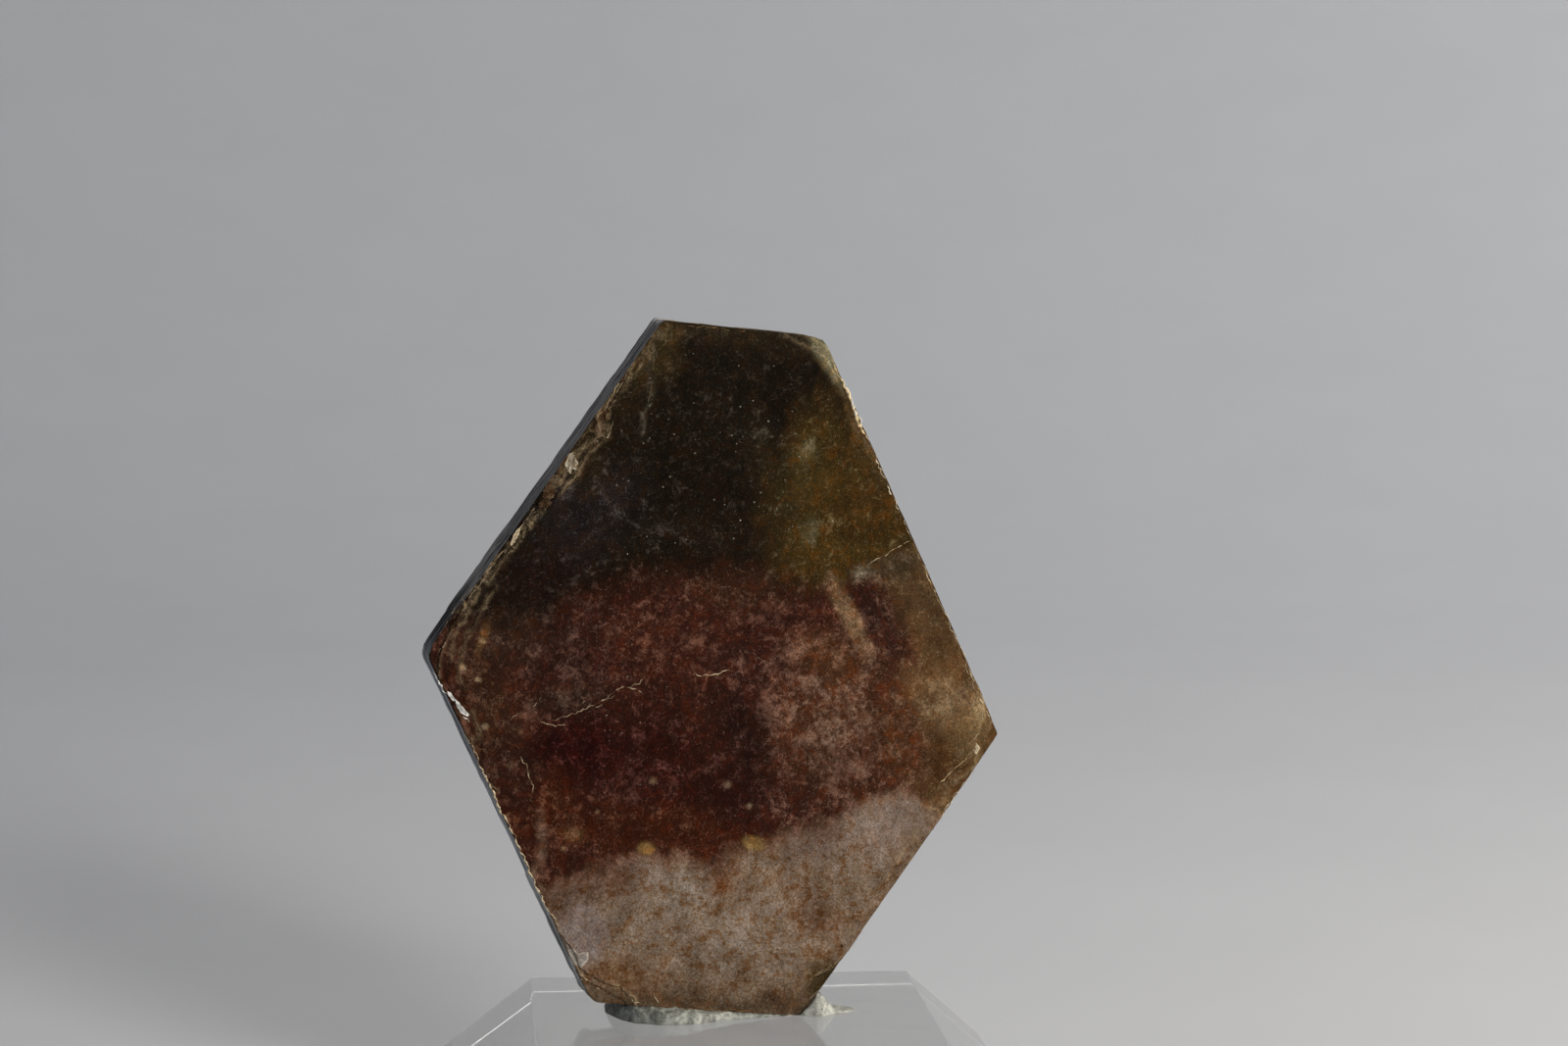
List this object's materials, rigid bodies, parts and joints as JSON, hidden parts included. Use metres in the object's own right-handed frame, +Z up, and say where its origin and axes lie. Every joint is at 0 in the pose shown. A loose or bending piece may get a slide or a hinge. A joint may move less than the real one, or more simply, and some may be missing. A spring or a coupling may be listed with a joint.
{
  "type": "mica crystal on a clear display block",
  "caption": "Tabular six-sided mica crystal standing on edge in a roll of mounting putty on a clear bevelled block.",
  "frame": {"origin": "centre of the display block's underside", "axes": "+Z up; the crystal's broad front face looks along -Y, turned 3.4 degrees towards +X; +X to the viewer's right"},
  "size_m": [0.0613, 0.06, 0.0904],
  "materials": {
    "mica": "pearly cleavage face, brown to rust with a pale foot",
    "putty": "matte, finger-pressed",
    "acrylic": "polished clear"
  },
  "bodies": {
    "root": {"mica_crystal": "mica", "mounting_putty": "putty", "acrylic_base": "acrylic"}
  },
  "joints": []
}
